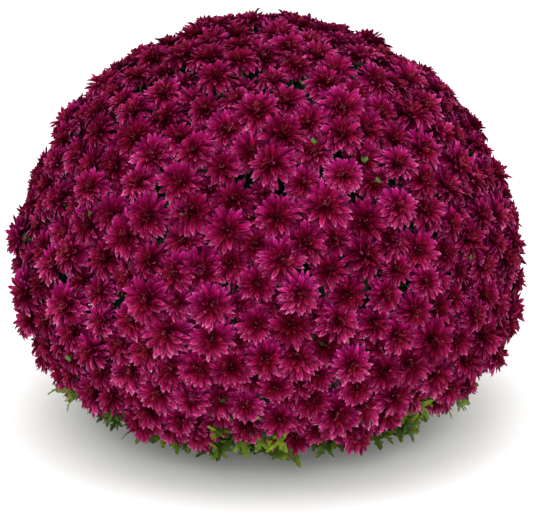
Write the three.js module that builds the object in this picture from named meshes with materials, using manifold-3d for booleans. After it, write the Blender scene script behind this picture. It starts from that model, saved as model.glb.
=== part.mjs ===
// A garden chrysanthemum in a plain nursery pot: a dome of some 550 blooms over a leafy layer, carried by stems
// that stand in the potting mix. Millimetres, +Z up, origin at the centre of the pot's base.
import * as THREE from "three";
import { ConvexHull } from "three/addons/math/ConvexHull.js";
import { mergeVertices } from "three/addons/utils/BufferGeometryUtils.js";
import Module from "manifold-3d";

const wasm = await Module();
wasm.setup();

// Canopy: the surface that the petal tips reach
const CANOPY_RADIUS = 290; // half the widest width
const CANOPY_TOP = 470; // height of the highest blooms
const CANOPY_CENTRE_Z = 176; // level of the widest width, and the point that the blooms fan out from
const CANOPY_LOWER = 206; // half-height of the ellipse that the lower half follows
const BILLOW = 5; // the canopy swells and dips by this much

// Blooms
const SITES = 725; // places for blooms on the whole sphere, of which the canopy takes those above the skirt
const SEED = 20612;
const JITTER = 0.42; // share of the spacing that a bloom is off the even pattern
const SKIRT_ANGLE = 121; // degrees from the top at which the blooms end
const WINDOW_ANGLE = 111; // degrees from the top at which they end where leaves come out between them
const WINDOW_WIDTH = 12; // degrees round the axis
const BLOOM_LIFT = 6; // blooms stand up to this much above or below the canopy
const BLOOM_DISH = 5; // the heart of a bloom lies this far below its petal tips
const BLOOM_TURN = 0.3; // slope by which a bloom turns up towards the light
const PETAL_WIDTH = 21; // of one petal at the bloom's edge
const PETAL_LEAST = 6; // an edge shorter than this bears no petal
const PETAL_REACH = 0.9; // share of the way to the bloom's edge that a petal tip reaches
const NOTCH_DEPTH = 20; // from the petal tips down to the notches between petals
const NOTCH_VARIES = 3;

// Sprays: the blooms are borne in sprays, one solid each
const SPRAYS = 20;
const SPRAY_PASSES = 15; // of gathering, each from the middles of the sprays before
const SPRAY_EDGE_DEPTH = 30; // depth of a spray's outline below the petal tips
const SPRAY_BACK_DEPTH = 34; // depth of the ring in the middle of a spray's back
const SPRAY_BACK_SIDES = 7;
const SPRAY_BACK_SHARE = 0.62; // of the way from the middle to the nearest edge
const SPRAY_GAP = 0.7; // between neighbouring sprays

// Stems: a crown stands in the mix, and from it rise stems that fork, with a branch to the back of each spray
const CROWN_RADIUS = 15;
const CROWN_SIDES = 8;
const CROWN_DEPTH = 50; // into the mix
const CROWN_TOP = 144;
const STEMS = 5;
const STEM_SIDES = 5;
const STEM_RADIUS = 5.5;
const STEM_TIP_RADIUS = 4;
const FORK_RADIUS = 62; // how far out and how high the stems fork
const FORK_HEIGHT = 235;
const BRANCH_RADIUS = 3.4;
const BRANCH_TIP_RADIUS = 2.4;
const BRANCH_SIDES = 4;
const SEAT_GAP = 0.35; // between a branch's end and the back of the spray that it carries

// Leafy shoots that arch over the pot's rim and hang below the blooms
const SHOOTS = 11;
const SHOOT_JITTER = 0.45; // share of their spacing that they are off an even ring
const SHOOT_RADIUS = 3;
const SHOOT_TIP_RADIUS = 2;
const SHOOT_RIM_CLEARANCE = 12; // over the pot's rim
const SHOOT_HANG_RADIUS = 150;
const SHOOT_WINDOW_Z = 97; // height of the leaf that comes out between the blooms
const SHOOT_END_Z = 58;

// Leaves
const LEAF_LENGTH = 60;
const LEAF_WIDTH = 40;
const LEAF_THICKNESS = 1.8; // at the rib
const LEAF_ARCH = 12; // that its tip bends down
const LEAF_NODE = 5; // length of the stretch of stem that a leaf grows from
const LEAF_DEPTH = 62; // of the leaves under the blooms, below the canopy

// Pot and potting mix
const POT_HEIGHT = 150;
const POT_RIM_RADIUS = 114;
const POT_BASE_RADIUS = 82;
const POT_WALL = 2.4;
const POT_LIP_HEIGHT = 16; // the collar under the rim
const POT_LIP_OUT = 3.5;
const POT_SIDES = 22;
const DRAIN_HOLES = 4;
const DRAIN_RADIUS = 5;
const DRAIN_CIRCLE = 58;
const MIX_TOP = 130;
const MIX_GAP = 0.4; // between the mix and the pot's wall
const MIX_SIDES = 20;

const GOLDEN_ANGLE = Math.PI * (3 - Math.sqrt(5));
const CENTRE = new THREE.Vector3(0, 0, CANOPY_CENTRE_Z);
const UP = new THREE.Vector3(0, 0, 1);
const degrees = THREE.MathUtils.degToRad;

// Random draws from 0 to 1, the same on each run
function seeded(seed) {
  let state = seed >>> 0;
  return () => {
    state = (Math.imul(state, 1664525) + 1013904223) >>> 0;
    return state / 4294967296;
  };
}

// Distance of the canopy surface from its centre, in a direction
function canopyRadius(direction) {
  const halfHeight = direction.z >= 0 ? CANOPY_TOP - CANOPY_CENTRE_Z : CANOPY_LOWER;
  const across = Math.hypot(direction.x, direction.y) / CANOPY_RADIUS;
  const azimuth = Math.atan2(direction.y, direction.x);
  const swell = Math.sin(3 * azimuth + 5 * direction.z) * Math.sin(4 * direction.z + 1 + azimuth);
  const billow = BILLOW * swell * (1 - direction.z * direction.z);
  return 1 / Math.hypot(across, direction.z / halfHeight) + billow;
}

// Point at a depth below the canopy surface, in a direction from the centre
function atDepth(direction, depth) {
  return CENTRE.clone().addScaledVector(direction, canopyRadius(direction) - depth);
}

// Directions of the blooms from the canopy's centre: an even spiral, jittered and then eased apart
function bloomSites() {
  const random = seeded(SEED);
  const spacing = Math.sqrt((4 * Math.PI) / SITES);
  const sites = [];
  for (let i = 0; i < SITES; i++) {
    const z = 1 - (2 * i + 1) / SITES;
    const azimuth = i * GOLDEN_ANGLE;
    const across = Math.sqrt(1 - z * z);
    const site = new THREE.Vector3(across * Math.cos(azimuth), across * Math.sin(azimuth), z);
    const jitter = new THREE.Vector3(random() - 0.5, random() - 0.5, random() - 0.5);
    sites.push(site.addScaledVector(jitter, 2 * JITTER * spacing).normalize());
  }
  for (let pass = 0; pass < 3; pass++) {
    const pushes = sites.map((site) => {
      const push = new THREE.Vector3();
      for (const other of sites) {
        const gap = site.distanceTo(other);
        if (gap > 0 && gap < spacing) push.addScaledVector(site.clone().sub(other), (spacing - gap) / gap / 3);
      }
      return push;
    });
    sites.forEach((site, i) => site.add(pushes[i]).normalize());
  }
  return sites;
}

// Directions round the axis in which leafy shoots hang, in radians
function shootAngles() {
  const random = seeded(SEED + 4);
  return Array.from({ length: SHOOTS }, (_, k) => (2 * Math.PI * (k + SHOOT_JITTER * random())) / SHOOTS);
}

// Whether a bloom grows at a site: above the edge of the skirt, which is higher over each leafy shoot
function bears(site) {
  const azimuth = Math.atan2(site.y, site.x);
  const open = shootAngles().some((angle) => Math.cos(azimuth - angle) > Math.cos(degrees(WINDOW_WIDTH / 2)));
  return site.z > Math.cos(degrees(open ? WINDOW_ANGLE : SKIRT_ANGLE));
}

// The cells of the sites on the sphere: each is a ring of corners, with the neighbour across each edge
function cellsOf(sites) {
  const numbers = new Map(sites.map((site, i) => [site, i]));
  const corners = [];
  const faceAt = new Map();
  for (const face of new ConvexHull().setFromPoints(sites).faces) {
    const ring = [];
    let edge = face.edge;
    do {
      ring.push(numbers.get(edge.head().point));
      edge = edge.next;
    } while (edge !== face.edge);
    const [a, b, c] = ring;
    const normal = sites[b].clone().sub(sites[a]).cross(sites[c].clone().sub(sites[a])).normalize();
    const corner = { direction: normal, sites: ring, number: corners.length };
    corners.push(corner);
    ring.forEach((from, k) => faceAt.set(from * SITES + ring[(k + 1) % 3], corner));
  }
  const first = new Map();
  corners.forEach((corner) => corner.sites.forEach((site) => first.set(site, corner)));
  const cells = sites.map((site, i) => {
    const around = [];
    let corner = first.get(i);
    do {
      const k = corner.sites.indexOf(i);
      const neighbour = corner.sites[(k + 2) % 3];
      around.push({ corner, neighbour });
      corner = faceAt.get(i * SITES + neighbour);
    } while (corner !== first.get(i));
    return around;
  });
  return { cells, corners };
}

// The spray that each bloom belongs to, or -1 where none grows: the sprays start on an even spiral over the
// canopy and gather the blooms nearest to them
function gatherSprays(sites) {
  const lowest = Math.cos(degrees(SKIRT_ANGLE));
  let axes = [];
  for (let i = 0; i < SPRAYS; i++) {
    const z = 1 - ((i + 0.5) / SPRAYS) * (1 - lowest);
    const across = Math.sqrt(1 - z * z);
    const azimuth = i * GOLDEN_ANGLE;
    axes.push(new THREE.Vector3(across * Math.cos(azimuth), across * Math.sin(azimuth), z));
  }
  let owners = [];
  for (let pass = 0; pass < SPRAY_PASSES; pass++) {
    owners = sites.map((site) => {
      const nearness = axes.map((axis) => axis.dot(site));
      return bears(site) ? nearness.indexOf(Math.max(...nearness)) : -1;
    });
    axes = axes.map((_, number) => {
      const members = sites.filter((_, i) => owners[i] === number);
      return members.reduce((sum, site) => sum.add(site), new THREE.Vector3()).normalize();
    });
  }
  return owners;
}

const sites = bloomSites();
const { cells, corners } = cellsOf(sites);
const sprayAt = gatherSprays(sites);
const lifts = seeded(SEED + 1);
const lift = sites.map(() => BLOOM_LIFT * (2 * lifts() - 1));
const depths = seeded(SEED + 2);
const notchDepth = corners.map(() => NOTCH_DEPTH + NOTCH_VARIES * (2 * depths() - 1));

// Whether a corner of the cells lies on the outline of a spray
function onOutline(corner, spray) {
  return corner.sites.some((site) => sprayAt[site] !== spray);
}

// The notches along one edge of a cell, from its corner up to the next one, which is left out. Both cells that
// share an edge give it the same notches, by the same names
function edgeNotches(i, k) {
  const around = cells[i];
  const { corner, neighbour } = around[k];
  const next = around[(k + 1) % around.length].corner;
  const spray = sprayAt[i];
  const outer = sprayAt[neighbour] !== spray;
  const bridge = !outer && onOutline(corner, spray) && onOutline(next, spray);
  const length = corner.direction.distanceTo(next.direction) * CANOPY_RADIUS;
  const parts = Math.max(bridge ? 2 : 1, Math.round(length / PETAL_WIDTH));
  const [low, high] = corner.number < next.number ? [corner, next] : [next, corner];
  const notches = [];
  for (let part = 0; part < parts; part++) {
    const place = corner === low ? part : parts - part;
    const direction = low.direction.clone().lerp(high.direction, place / parts).normalize();
    const outline = part ? outer : onOutline(corner, spray);
    const depth = (1 - place / parts) * notchDepth[low.number] + (place / parts) * notchDepth[high.number];
    const point = atDepth(direction, outline ? SPRAY_EDGE_DEPTH : depth);
    if (outline) {
      const own = (part ? [i] : corner.sites).filter((site) => sprayAt[site] === spray);
      const inward = own.reduce((sum, site) => sum.add(sites[site]), new THREE.Vector3());
      point.addScaledVector(inward.projectOnPlane(direction).normalize(), SPRAY_GAP / 2);
    }
    const name = part ? `${low.number}_${high.number}_${place}` : `${corner.number}`;
    notches.push({ name, point, direction, long: length / parts > PETAL_LEAST });
  }
  return notches;
}

// A closed mesh under construction, with vertices shared by name
class Shell {
  constructor() {
    this.positions = [];
    this.indices = [];
    this.names = new Map();
  }
  vertex(name, point) {
    if (!this.names.has(name)) {
      this.names.set(name, this.positions.length / 3);
      this.positions.push(point.x, point.y, point.z);
    }
    return this.names.get(name);
  }
  face(a, b, c) {
    this.indices.push(a, b, c);
  }
  fan(ring) {
    for (let k = 1; k < ring.length - 1; k++) this.face(ring[0], ring[k], ring[k + 1]);
  }
  point(index) {
    return new THREE.Vector3().fromArray(this.positions, index * 3);
  }
  geometry() {
    const geometry = new THREE.BufferGeometry();
    geometry.setAttribute("position", new THREE.Float32BufferAttribute(this.positions, 3));
    geometry.setIndex(this.indices);
    return geometry;
  }
}

// One bloom's petals: ridges that run from its heart to the tips, with notches between them
function addBloom(shell, i) {
  const site = sites[i];
  const heart = shell.vertex(`heart_${i}`, atDepth(site, BLOOM_DISH - lift[i]));
  const ring = cells[i].flatMap((_, k) => edgeNotches(i, k));
  const rim = ring.map((notch) => shell.vertex(notch.name, notch.point));
  const down = UP.clone().negate().projectOnPlane(site);
  ring.forEach((notch, k) => {
    const following = ring[(k + 1) % ring.length];
    const [left, right] = [rim[k], rim[(k + 1) % ring.length]];
    if (!notch.long) {
      shell.face(heart, left, right);
      return;
    }
    const middle = notch.direction.clone().add(following.direction).normalize();
    const direction = site.clone().lerp(middle, PETAL_REACH).normalize();
    const turned = BLOOM_TURN * CANOPY_RADIUS * direction.clone().sub(site).dot(down);
    const tip = shell.vertex(`tip_${i}_${k}`, atDepth(direction, -lift[i] - turned));
    shell.face(heart, left, tip);
    shell.face(heart, tip, right);
    shell.face(tip, left, right);
  });
  return rim;
}

// The outline of a spray, in order, as the edges that only one of its blooms has
function outlineOf(shell, rims) {
  const next = new Map();
  const shared = new Set();
  for (const rim of rims) rim.forEach((a, k) => shared.add(`${a}_${rim[(k + 1) % rim.length]}`));
  for (const rim of rims) {
    rim.forEach((a, k) => {
      const b = rim[(k + 1) % rim.length];
      if (!shared.has(`${b}_${a}`)) next.set(a, b);
    });
  }
  const start = next.keys().next().value;
  const outline = [];
  let at = start;
  do {
    outline.push(at);
    at = next.get(at);
  } while (at !== start);
  if (outline.length !== next.size) throw new Error("a spray has more than one outline");
  return outline;
}

// A spray: its blooms in front, and a back that is set in from its outline by a ring of points
function spray(number) {
  const shell = new Shell();
  const members = sites.map((_, i) => i).filter((i) => sprayAt[i] === number);
  const rims = members.map((i) => addBloom(shell, i));
  const outline = outlineOf(shell, rims);
  const axis = members.reduce((sum, i) => sum.add(sites[i]), new THREE.Vector3()).normalize();
  const turn = new THREE.Quaternion().setFromUnitVectors(axis, UP);
  const flat = (index) => {
    const seen = shell.point(index).sub(CENTRE).applyQuaternion(turn);
    return new THREE.Vector2(seen.x / seen.z, seen.y / seen.z);
  };
  const contour = outline.map(flat);
  const reach = SPRAY_BACK_SHARE * Math.min(...contour.map((p) => p.length()));
  const back = turn.clone().invert();
  const ring = [];
  for (let k = 0; k < SPRAY_BACK_SIDES; k++) {
    const angle = (2 * Math.PI * k) / SPRAY_BACK_SIDES;
    const direction = new THREE.Vector3(reach * Math.cos(angle), reach * Math.sin(angle), 1);
    direction.normalize().applyQuaternion(back);
    ring.push(shell.vertex(`back_${k}`, atDepth(direction, SPRAY_BACK_DEPTH)));
  }
  const hole = ring.map(flat);
  const all = [...outline, ...ring];
  const flatAll = [...contour, ...hole];
  const addDown = (a, b, c) => {
    const area = flatAll[b].clone().sub(flatAll[a]).cross(flatAll[c].clone().sub(flatAll[a]));
    if (area < 0) shell.face(all[a], all[b], all[c]);
    else shell.face(all[a], all[c], all[b]);
  };
  for (const [a, b, c] of THREE.ShapeUtils.triangulateShape(contour, [hole])) addDown(a, b, c);
  const seat = ring.reduce((sum, v) => sum.add(shell.point(v)), new THREE.Vector3()).divideScalar(ring.length);
  const middle = shell.vertex("seat", seat);
  ring.forEach((at, k) => shell.face(middle, ring[(k + 1) % ring.length], at));
  const rays = ring.map((at) => shell.point(at).sub(seat));
  const facing = rays.reduce((sum, ray, k) => sum.add(ray.clone().cross(rays[(k + 1) % rays.length])), new THREE.Vector3());
  return { geometry: shell.geometry(), seat, facing: facing.normalize() };
}

// A closed three.js geometry as a solid to join and cut
function solid(geometry) {
  const bare = new THREE.BufferGeometry();
  const whole = geometry.index ? geometry.toNonIndexed() : geometry;
  bare.setAttribute("position", whole.getAttribute("position"));
  const merged = mergeVertices(bare, 1e-3);
  return new wasm.Manifold(
    new wasm.Mesh({
      numProp: 3,
      vertProperties: merged.attributes.position.array,
      triVerts: new Uint32Array(merged.index.array),
    }),
  );
}

function geometryOf(made) {
  const mesh = made.getMesh();
  const geometry = new THREE.BufferGeometry();
  const positions = new Float32Array(mesh.numVert * 3);
  for (let i = 0; i < mesh.numVert; i++) {
    positions.set(mesh.vertProperties.subarray(i * mesh.numProp, i * mesh.numProp + 3), i * 3);
  }
  geometry.setAttribute("position", new THREE.BufferAttribute(positions, 3));
  geometry.setIndex(new THREE.BufferAttribute(mesh.triVerts, 1));
  return geometry;
}

// A round body on the Z axis, from [radius, height] pairs that go up the outside
function turned(profile, sides) {
  const points = profile.map(([radius, height]) => new THREE.Vector2(radius, height));
  return new THREE.LatheGeometry(points, sides).rotateX(Math.PI / 2);
}

// A lobed leaf that grows from a four-cornered face of a stem: two pairs of side lobes and a tip, thick at the rib
// and sharp at the edge. The corners go round the face as seen from outside
function addLeaf(shell, corners, { forward, upward, size }) {
  const level = corners.map((at, k) => shell.point(at).add(shell.point(corners[(k + 1) % 4])).dot(upward));
  const upper = level.indexOf(Math.max(...level));
  const [q2, q3, q0, q1] = corners.map((_, k) => corners[(k + upper) % 4]);
  const root = corners.reduce((sum, at) => sum.add(shell.point(at)), new THREE.Vector3()).divideScalar(4);
  const across = upward.clone().cross(forward).normalize();
  const rising = forward.clone().cross(across);
  const at = (x, y, z) => {
    const point = root.clone().addScaledVector(forward, x * size * LEAF_LENGTH);
    return point.addScaledVector(across, (y * size * LEAF_WIDTH) / 2).addScaledVector(rising, z - LEAF_ARCH * size * x * x);
  };
  const side = [
    [0.36, 0.8],
    [0.5, 0.4],
    [0.7, 1],
    [0.78, 0.4],
  ];
  const outline = [...side, [1, 0], ...side.map(([x, y]) => [x, -y]).reverse()];
  const name = `leaf_${shell.positions.length}`;
  const rim = outline.map(([x, y], k) => shell.vertex(`${name}_${k}`, at(x, y, 0)));
  const top = shell.vertex(`${name}_top`, at(0.56, 0, LEAF_THICKNESS / 2));
  const under = shell.vertex(`${name}_under`, at(0.56, 0, -LEAF_THICKNESS / 2));
  const upperRim = [q3, q2, ...rim];
  const lowerRim = [q0, q1, ...rim];
  upperRim.forEach((from, k) => shell.face(top, upperRim[(k + 1) % upperRim.length], from));
  lowerRim.forEach((from, k) => shell.face(under, from, lowerRim[(k + 1) % lowerRim.length]));
  shell.face(q1, q2, rim[0]);
  shell.face(q0, rim.at(-1), q3);
}

// A tapering stem through points, with a ring of corners round each of them. Leaves grow from its faces: each names
// the ring that its face starts at and the side of the stem, or stands at the end
function limb(points, radii, sides, leaves = []) {
  const run = points.at(-1).clone().sub(points[0]).setZ(0);
  const across = run.length() > 1 ? run.cross(UP).normalize() : new THREE.Vector3(1, 0, 0);
  const shell = new Shell();
  const rings = points.map((point, j) => {
    const along = (points[j + 1] ?? point).clone().sub(points[j - 1] ?? point).normalize();
    const sideways = across.clone().projectOnPlane(along).normalize();
    const upward = along.cross(sideways);
    return Array.from({ length: sides }, (_, k) => {
      const angle = (2 * Math.PI * (k + 0.5)) / sides;
      const corner = point.clone().addScaledVector(sideways, radii[j] * Math.cos(angle));
      return shell.vertex(`${j}_${k}`, corner.addScaledVector(upward, radii[j] * Math.sin(angle)));
    });
  });
  for (let j = 0; j < rings.length - 1; j++) {
    for (let k = 0; k < sides; k++) {
      const after = (k + 1) % sides;
      const face = [rings[j][k], rings[j][after], rings[j + 1][after], rings[j + 1][k]];
      const grown = leaves.find((leaf) => leaf.ring === j && leaf.side === k);
      if (grown) addLeaf(shell, face, grown);
      else shell.fan(face);
    }
  }
  shell.fan(rings[0].toReversed());
  const terminal = leaves.find((leaf) => leaf.ring === "end");
  if (terminal) addLeaf(shell, rings.at(-1), terminal);
  else shell.fan(rings.at(-1));
  return solid(shell.geometry());
}

// A point at a distance from the axis, in a direction round it, and a height
function ringPoint(radius, angle, height) {
  return new THREE.Vector3(radius * Math.cos(angle), radius * Math.sin(angle), height);
}

const stemAngle = (k) => (2 * Math.PI * k) / STEMS + 0.5;

// The crown in the mix, and the main stems up to where they fork
function mainStems() {
  const crown = turned(
    [
      [0, MIX_TOP - CROWN_DEPTH],
      [CROWN_RADIUS, MIX_TOP - CROWN_DEPTH],
      [CROWN_RADIUS, CROWN_TOP - 4],
      [CROWN_RADIUS - 5, CROWN_TOP],
      [0, CROWN_TOP],
    ],
    CROWN_SIDES,
  );
  const made = [solid(crown)];
  for (let k = 0; k < STEMS; k++) {
    const foot = ringPoint(CROWN_RADIUS - 8, stemAngle(k), CROWN_TOP - 8);
    const knee = ringPoint(CROWN_RADIUS + 8, stemAngle(k), CROWN_TOP + 30);
    const fork = ringPoint(FORK_RADIUS, stemAngle(k), FORK_HEIGHT);
    made.push(limb([foot, knee, fork], [STEM_RADIUS, STEM_RADIUS, STEM_TIP_RADIUS], STEM_SIDES));
  }
  return made;
}

// A branch from the nearest fork to each spray's seat, with a leaf on it below the blooms
function branches(sprays) {
  const random = seeded(SEED + 3);
  const forks = Array.from({ length: STEMS }, (_, k) => ringPoint(FORK_RADIUS - 4, stemAngle(k), FORK_HEIGHT - 12));
  return sprays.map(({ seat, facing }) => {
    const from = forks.reduce((best, fork) => (fork.distanceTo(seat) < best.distanceTo(seat) ? fork : best));
    const end = seat.clone().addScaledVector(facing, -SEAT_GAP);
    const node = end.clone().addScaledVector(facing, SPRAY_BACK_DEPTH - LEAF_DEPTH);
    const below = node.clone().addScaledVector(facing, -LEAF_NODE);
    const radii = [BRANCH_RADIUS, BRANCH_RADIUS, BRANCH_RADIUS, BRANCH_TIP_RADIUS];
    const side = random() < 0.5 ? 1 : 3;
    const sideways = end.clone().sub(from).cross(UP).projectOnPlane(facing).normalize();
    const forward = sideways.multiplyScalar(side === 3 ? 1 : -1).applyAxisAngle(facing, random() - 0.5);
    const leaf = { ring: 1, side, forward, upward: facing, size: 0.9 + 0.2 * random() };
    return limb([from, below, node, end], radii, BRANCH_SIDES, [leaf]);
  });
}

// The shoots, from low on the stems over the pot's rim: on each, one leaf comes out between the blooms, and one to
// either side and one at the end hang out below them
function shoots() {
  const random = seeded(SEED + 5);
  return shootAngles().map((angle) => {
    const over = POT_HEIGHT + SHOOT_RIM_CLEARANCE;
    const stem = Math.round(((angle - stemAngle(0)) / (2 * Math.PI)) * STEMS);
    const outward = ringPoint(1, angle, 0);
    const hang = (height) => ringPoint(SHOOT_HANG_RADIUS, angle, height);
    const points = [
      ringPoint(CROWN_RADIUS + 8, stemAngle(stem), CROWN_TOP + 28),
      ringPoint(POT_RIM_RADIUS + 10, angle, over + 8),
      hang(SHOOT_WINDOW_Z),
      hang(SHOOT_WINDOW_Z - LEAF_NODE),
      hang(SHOOT_END_Z + LEAF_NODE),
      hang(SHOOT_END_Z),
    ];
    const radii = points.map((_, j) => (j < 2 ? SHOOT_RADIUS : SHOOT_TIP_RADIUS));
    const leafTowards = (turn, droop) => {
      const forward = outward.clone().applyAxisAngle(UP, degrees(turn)).multiplyScalar(Math.cos(degrees(droop)));
      return { forward: forward.setZ(-Math.sin(degrees(droop))), upward: UP, size: 0.85 + 0.25 * random() };
    };
    const leaves = [
      { ring: 2, side: 0, ...leafTowards(0, 26) },
      { ring: 4, side: 3, ...leafTowards(48 + 12 * random(), 36) },
      { ring: 4, side: 1, ...leafTowards(-48 - 12 * random(), 36) },
      { ring: "end", ...leafTowards(10 * random() - 5, 40) },
    ];
    return limb(points, radii, BRANCH_SIDES, leaves);
  });
}

// The plant's green part: crown, stems, branches, shoots and leaves in one solid
function foliage(sprays) {
  return wasm.Manifold.union([...mainStems(), ...branches(sprays), ...shoots()]);
}

// A nursery pot with a collar, and drain holes in its base
function pot() {
  const slope = (POT_RIM_RADIUS - POT_LIP_OUT - POT_BASE_RADIUS) / (POT_HEIGHT - POT_LIP_HEIGHT);
  const wallAt = (z) => POT_BASE_RADIUS + slope * z;
  const lipBase = POT_HEIGHT - POT_LIP_HEIGHT;
  const shell = solid(
    turned(
      [
        [0, 0],
        [POT_BASE_RADIUS, 0],
        [wallAt(lipBase), lipBase],
        [wallAt(lipBase) + POT_LIP_OUT, lipBase + 1.5],
        [POT_RIM_RADIUS + 0.5, POT_HEIGHT - 1],
        [POT_RIM_RADIUS - 1, POT_HEIGHT],
        [POT_RIM_RADIUS - POT_WALL - 0.6, POT_HEIGHT - 0.6],
        [wallAt(lipBase) - POT_WALL, lipBase - 2],
        [wallAt(0) - POT_WALL, POT_WALL],
        [0, POT_WALL],
      ],
      POT_SIDES,
    ),
  );
  let made = shell;
  for (let k = 0; k < DRAIN_HOLES; k++) {
    const angle = (2 * Math.PI * (k + 0.5)) / DRAIN_HOLES;
    const drill = new THREE.CylinderGeometry(DRAIN_RADIUS, DRAIN_RADIUS, 4 * POT_WALL, 8).rotateX(Math.PI / 2);
    drill.translate(DRAIN_CIRCLE * Math.cos(angle), DRAIN_CIRCLE * Math.sin(angle), 0);
    made = made.subtract(solid(drill));
  }
  return made;
}

// The potting mix: it fills the pot to below the rim, is mounded a little, and has a plain hole for the crown
function pottingMix() {
  const slope = (POT_RIM_RADIUS - POT_LIP_OUT - POT_BASE_RADIUS) / (POT_HEIGHT - POT_LIP_HEIGHT);
  const radiusAt = (z) => (POT_BASE_RADIUS + slope * z - POT_WALL - MIX_GAP) * Math.cos(Math.PI / POT_SIDES) - 0.2;
  const bottom = POT_WALL + MIX_GAP;
  const profile = [
    [0, bottom],
    [radiusAt(bottom), bottom],
    [radiusAt(MIX_TOP - 3), MIX_TOP - 5],
    [radiusAt(0) * 0.8, MIX_TOP - 1],
    [radiusAt(0) * 0.45, MIX_TOP],
    [0, MIX_TOP],
  ];
  const hole = (CROWN_RADIUS + MIX_GAP) / Math.cos(Math.PI / CROWN_SIDES);
  const drill = new THREE.CylinderGeometry(hole, hole, 2 * CROWN_DEPTH, CROWN_SIDES).rotateX(Math.PI / 2);
  return solid(turned(profile, MIX_SIDES)).subtract(solid(drill.translate(0, 0, MIX_TOP - MIX_GAP)));
}

const BLOOM_PINK = 0x8a1248;
const LEAF_GREEN = 0x4d7a24;
const POT_BLACK = 0x1d1e1f;
const MIX_BROWN = 0x3a2a1d;

const group = new THREE.Group();

function place(name, geometry, colour, roughness) {
  const material = new THREE.MeshStandardMaterial({ color: colour, roughness, metalness: 0 });
  const mesh = new THREE.Mesh(geometry, material);
  mesh.name = name;
  group.add(mesh);
}

const sprays = [];
for (let number = 0; number < SPRAYS; number++) {
  const made = spray(number);
  sprays.push(made);
  place(`bloom_spray_${String(number + 1).padStart(2, "0")}`, made.geometry, BLOOM_PINK, 0.6);
}
place("stems_and_leaves", geometryOf(foliage(sprays)), LEAF_GREEN, 0.6);
place("pot", geometryOf(pot()), POT_BLACK, 0.45);
place("potting_mix", geometryOf(pottingMix()), MIX_BROWN, 0.95);

export default group;
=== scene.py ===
"""Looks of a potted garden chrysanthemum: blooms, leaves, stems, pot and potting mix. Metres, +Z up."""

import math

import bmesh
import bpy
import numpy as np
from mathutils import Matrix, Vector


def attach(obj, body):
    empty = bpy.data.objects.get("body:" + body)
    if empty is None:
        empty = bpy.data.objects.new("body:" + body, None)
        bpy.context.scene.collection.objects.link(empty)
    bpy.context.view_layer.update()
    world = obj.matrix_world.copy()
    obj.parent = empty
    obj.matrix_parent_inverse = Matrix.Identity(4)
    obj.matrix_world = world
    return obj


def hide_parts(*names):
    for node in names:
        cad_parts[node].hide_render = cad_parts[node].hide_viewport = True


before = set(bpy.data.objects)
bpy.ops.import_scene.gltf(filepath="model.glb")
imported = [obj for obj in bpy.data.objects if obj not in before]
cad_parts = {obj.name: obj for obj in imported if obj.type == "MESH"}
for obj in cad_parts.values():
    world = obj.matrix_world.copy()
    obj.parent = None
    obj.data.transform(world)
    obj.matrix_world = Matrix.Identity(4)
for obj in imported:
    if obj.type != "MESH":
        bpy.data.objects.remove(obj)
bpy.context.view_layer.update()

# Canopy, as in the part's source: a dome round a centre on the axis, with places for blooms all over it
SEED = 20612
SITES = 725
JITTER = 0.42  # as a share of the spacing
SKIRT_ANGLE = 121  # degrees from straight up to the skirt's edge, above which blooms grow
WINDOW_ANGLE = 111  # the same over a leafy shoot
WINDOW_WIDTH = 12  # degrees round the axis
CANOPY_RADIUS = 0.290
CANOPY_TOP = 0.470
CANOPY_CENTRE_Z = 0.176
CANOPY_LOWER = 0.206  # half height of the part below the centre
BILLOW = 0.005  # by which the surface swells and dips
BLOOM_LIFT = 0.006  # by which a bloom stands higher or lower
SPRAYS = 20
SPRAY_PASSES = 15  # in which the sprays are gathered

# Stems, as in the part's source
MIX_TOP = 0.130
CROWN_RADIUS = 0.015
CROWN_TOP = 0.144
CROWN_DEPTH = 0.050  # of its foot below the top of the mix
STEMS = 5
STEM_TURN = 0.5  # radians from +X to the first stem
STEM_RADIUS = 0.0055
STEM_TIP_RADIUS = 0.004
FORK_RADIUS = 0.062
FORK_HEIGHT = 0.235
BRANCH_RADIUS = 0.0034
BRANCH_TIP_RADIUS = 0.0024
SHOOTS = 11
SHOOT_JITTER = 0.45
SHOOT_RADIUS = 0.003
SHOOT_TIP_RADIUS = 0.0018
SHOOT_OVER_RADIUS = 0.124  # where a shoot passes over the pot's rim
SHOOT_OVER_Z = 0.170
SHOOT_HANG_RADIUS = 0.150  # where it hangs outside the pot
SHOOT_END_Z = 0.058

# Branches, and the twigs from a branch to each bloom
HUB_DEPTH = 0.085  # of a branch's end, below the canopy
FORK_INSET = 0.004  # by which a branch starts nearer the axis than the end of its stem
FORK_DROP = 0.012  # and below it
BRANCH_BOW = 0.012
BRANCH_POINTS = 9
TWIG_RADIUS = 0.0013
TWIG_POINTS = 6
CALYX_RADIUS = 0.0075
CALYX_HEIGHT = 0.006

# Sides of the round stems and cups
CROWN_SIDES = 24
STEM_SIDES = 12
BRANCH_SIDES = 8  # and those of a shoot
TWIG_SIDES = 4
STALK_SIDES = 5
CALYX_SIDES = 6

# Pot, as in the part's source
POT_HEIGHT = 0.150
POT_RIM_RADIUS = 0.1145
POT_BASE_RADIUS = 0.082
POT_WALL = 0.0024
POT_LIP_HEIGHT = 0.016
POT_LIP_OUT = 0.0035
POT_SEGMENTS = 112
DRAIN_HOLES = 4
DRAIN_RADIUS = 0.005
DRAIN_CIRCLE = 0.058
DRAIN_SEGMENTS = 24
POT_GROOVES = 5
POT_FOOT_ROUNDING = 0.0018
POT_RIM_ROUNDING = 0.0012

# A groove round the pot's wall: how far each point of its section lies inward, and up or down
POT_GROOVE = ((0, -0.0024), (0, -0.0010), (0.0006, 0), (0, 0.0010), (0, 0.0024))

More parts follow.
